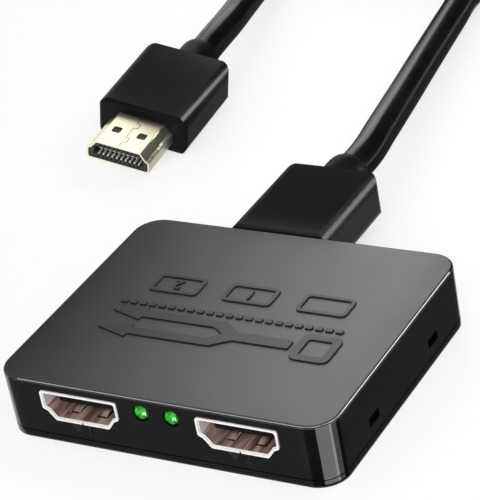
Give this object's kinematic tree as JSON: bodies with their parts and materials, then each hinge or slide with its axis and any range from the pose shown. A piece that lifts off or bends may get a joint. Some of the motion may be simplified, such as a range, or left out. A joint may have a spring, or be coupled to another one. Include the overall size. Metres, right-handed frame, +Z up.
{
  "type": "video splitter",
  "caption": "Flat rounded black video splitter box with front output sockets, green status lamps and a cable plugged in at the rear, ending in a free plug.",
  "frame": {"origin": "middle of the underside of the case", "axes": "+Z up, +X to the right seen from the front with the output sockets, +Y to the rear where the cable goes in"},
  "size_m": [0.1228, 0.2656, 0.0157],
  "materials": {
    "case_plastic": "satin top, glossy sides",
    "cover_plastic": "satin",
    "board_laminate": "solder mask",
    "socket_plating": "bright nickel",
    "insulator_plastic": "matte",
    "contact_plating": "gold flash",
    "lamp_lens": "clear, tinted",
    "tinned_metal": "dull tin",
    "chip_plastic": "fine matte",
    "aluminium_can": "drawn can",
    "ceramic": "fired ceramic",
    "plug_moulding": "fine satin",
    "plug_plating": "pale gold flash",
    "inner_plastic": "natural",
    "cord_jacket": "satin",
    "tie_fabric": "woven hook and loop"
  },
  "bodies": {
    "splitter": {"top_case": "case_plastic", "bottom_cover": "cover_plastic", "main_board": "board_laminate", "output_1_shell": "socket_plating", "output_1_insulator": "insulator_plastic", "output_1_contacts": "contact_plating", "output_2_shell": "socket_plating", "output_2_insulator": "insulator_plastic", "output_2_contacts": "contact_plating", "input_shell": "socket_plating", "input_insulator": "insulator_plastic", "input_contacts": "contact_plating", "power_shell": "socket_plating", "power_insulator": "insulator_plastic", "power_contacts": "contact_plating", "status_lamp_1": "lamp_lens", "status_lamp_2": "lamp_lens", "lamp_leads": "tinned_metal", "splitter_chip": "chip_plastic", "splitter_chip_leads": "tinned_metal", "memory_chip": "chip_plastic", "memory_chip_leads": "tinned_metal", "voltage_regulator": "chip_plastic", "regulator_leads": "tinned_metal", "crystal": "tinned_metal", "capacitor_cans": "aluminium_can", "capacitor_bases": "chip_plastic", "ceramic_capacitors": "ceramic", "chip_resistors": "chip_plastic", "surge_arrays": "chip_plastic"},
    "cable": {"input_plug_body": "plug_moulding", "input_plug_shell": "plug_plating", "input_plug_insulator": "insulator_plastic", "input_plug_contacts": "contact_plating", "input_plug_inner_mould": "inner_plastic", "free_plug_body": "plug_moulding", "free_plug_shell": "plug_plating", "free_plug_insulator": "insulator_plastic", "free_plug_contacts": "contact_plating", "free_plug_inner_mould": "inner_plastic", "cord_input_run": "cord_jacket", "cord_coil": "cord_jacket", "cord_free_run": "cord_jacket", "coil_tie": "tie_fabric"}
  },
  "joints": [
    {"name": "plug_pull", "type": "slide", "parent": "splitter", "child": "cable", "axis": [0, 1, 0], "range_m": [0, 0.0125]}
  ]
}
